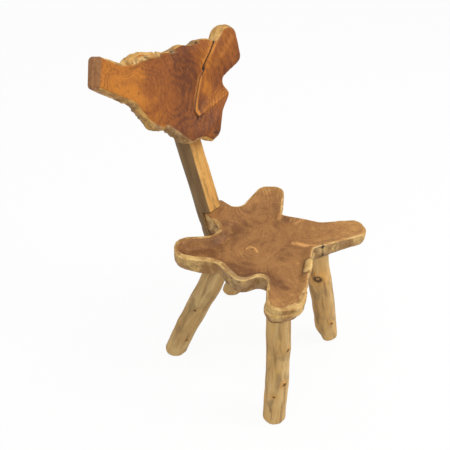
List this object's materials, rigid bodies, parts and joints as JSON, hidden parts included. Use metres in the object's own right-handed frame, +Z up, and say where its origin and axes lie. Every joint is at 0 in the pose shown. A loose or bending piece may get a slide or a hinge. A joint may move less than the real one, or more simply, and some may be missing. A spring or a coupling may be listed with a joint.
{
  "type": "root slab chair",
  "caption": "Rustic chair: lobed root-slab seat with a carved hollow, natural branch legs, and a leaning post that carries a two-horned root backrest.",
  "frame": {"origin": "on the floor, under the centre of the chair's bounding box", "axes": "+Z up; the sitter faces -Y; +X is the sitter's left"},
  "size_m": [0.5324, 0.6259, 0.9875],
  "materials": {
    "root_teak": "satin oil, brown heartwood with a pale sapwood edge",
    "branch_teak": "satin oil, peeled branch with grey streaks",
    "wedge_teak": "sawn",
    "plug_teak": "satin oil",
    "screw_steel": "zinc plated"
  },
  "bodies": {
    "root": {"seat": "root_teak", "backrest": "root_teak", "back_post": "branch_teak", "leg_front_right": "branch_teak", "leg_front_left": "branch_teak", "leg_rear_right": "branch_teak", "leg_rear_left": "branch_teak", "wedge_front_right": "wedge_teak", "wedge_front_left": "wedge_teak", "wedge_rear_right": "wedge_teak", "wedge_rear_left": "wedge_teak", "screw_seat_right": "screw_steel", "screw_seat_left": "screw_steel", "screw_backrest_upper": "screw_steel", "screw_backrest_lower": "screw_steel", "washer_seat_right": "screw_steel", "washer_seat_left": "screw_steel", "washer_backrest_upper": "screw_steel", "washer_backrest_lower": "screw_steel", "plug_seat_right": "plug_teak", "plug_seat_left": "plug_teak", "plug_backrest_upper": "plug_teak", "plug_backrest_lower": "plug_teak"}
  },
  "joints": []
}
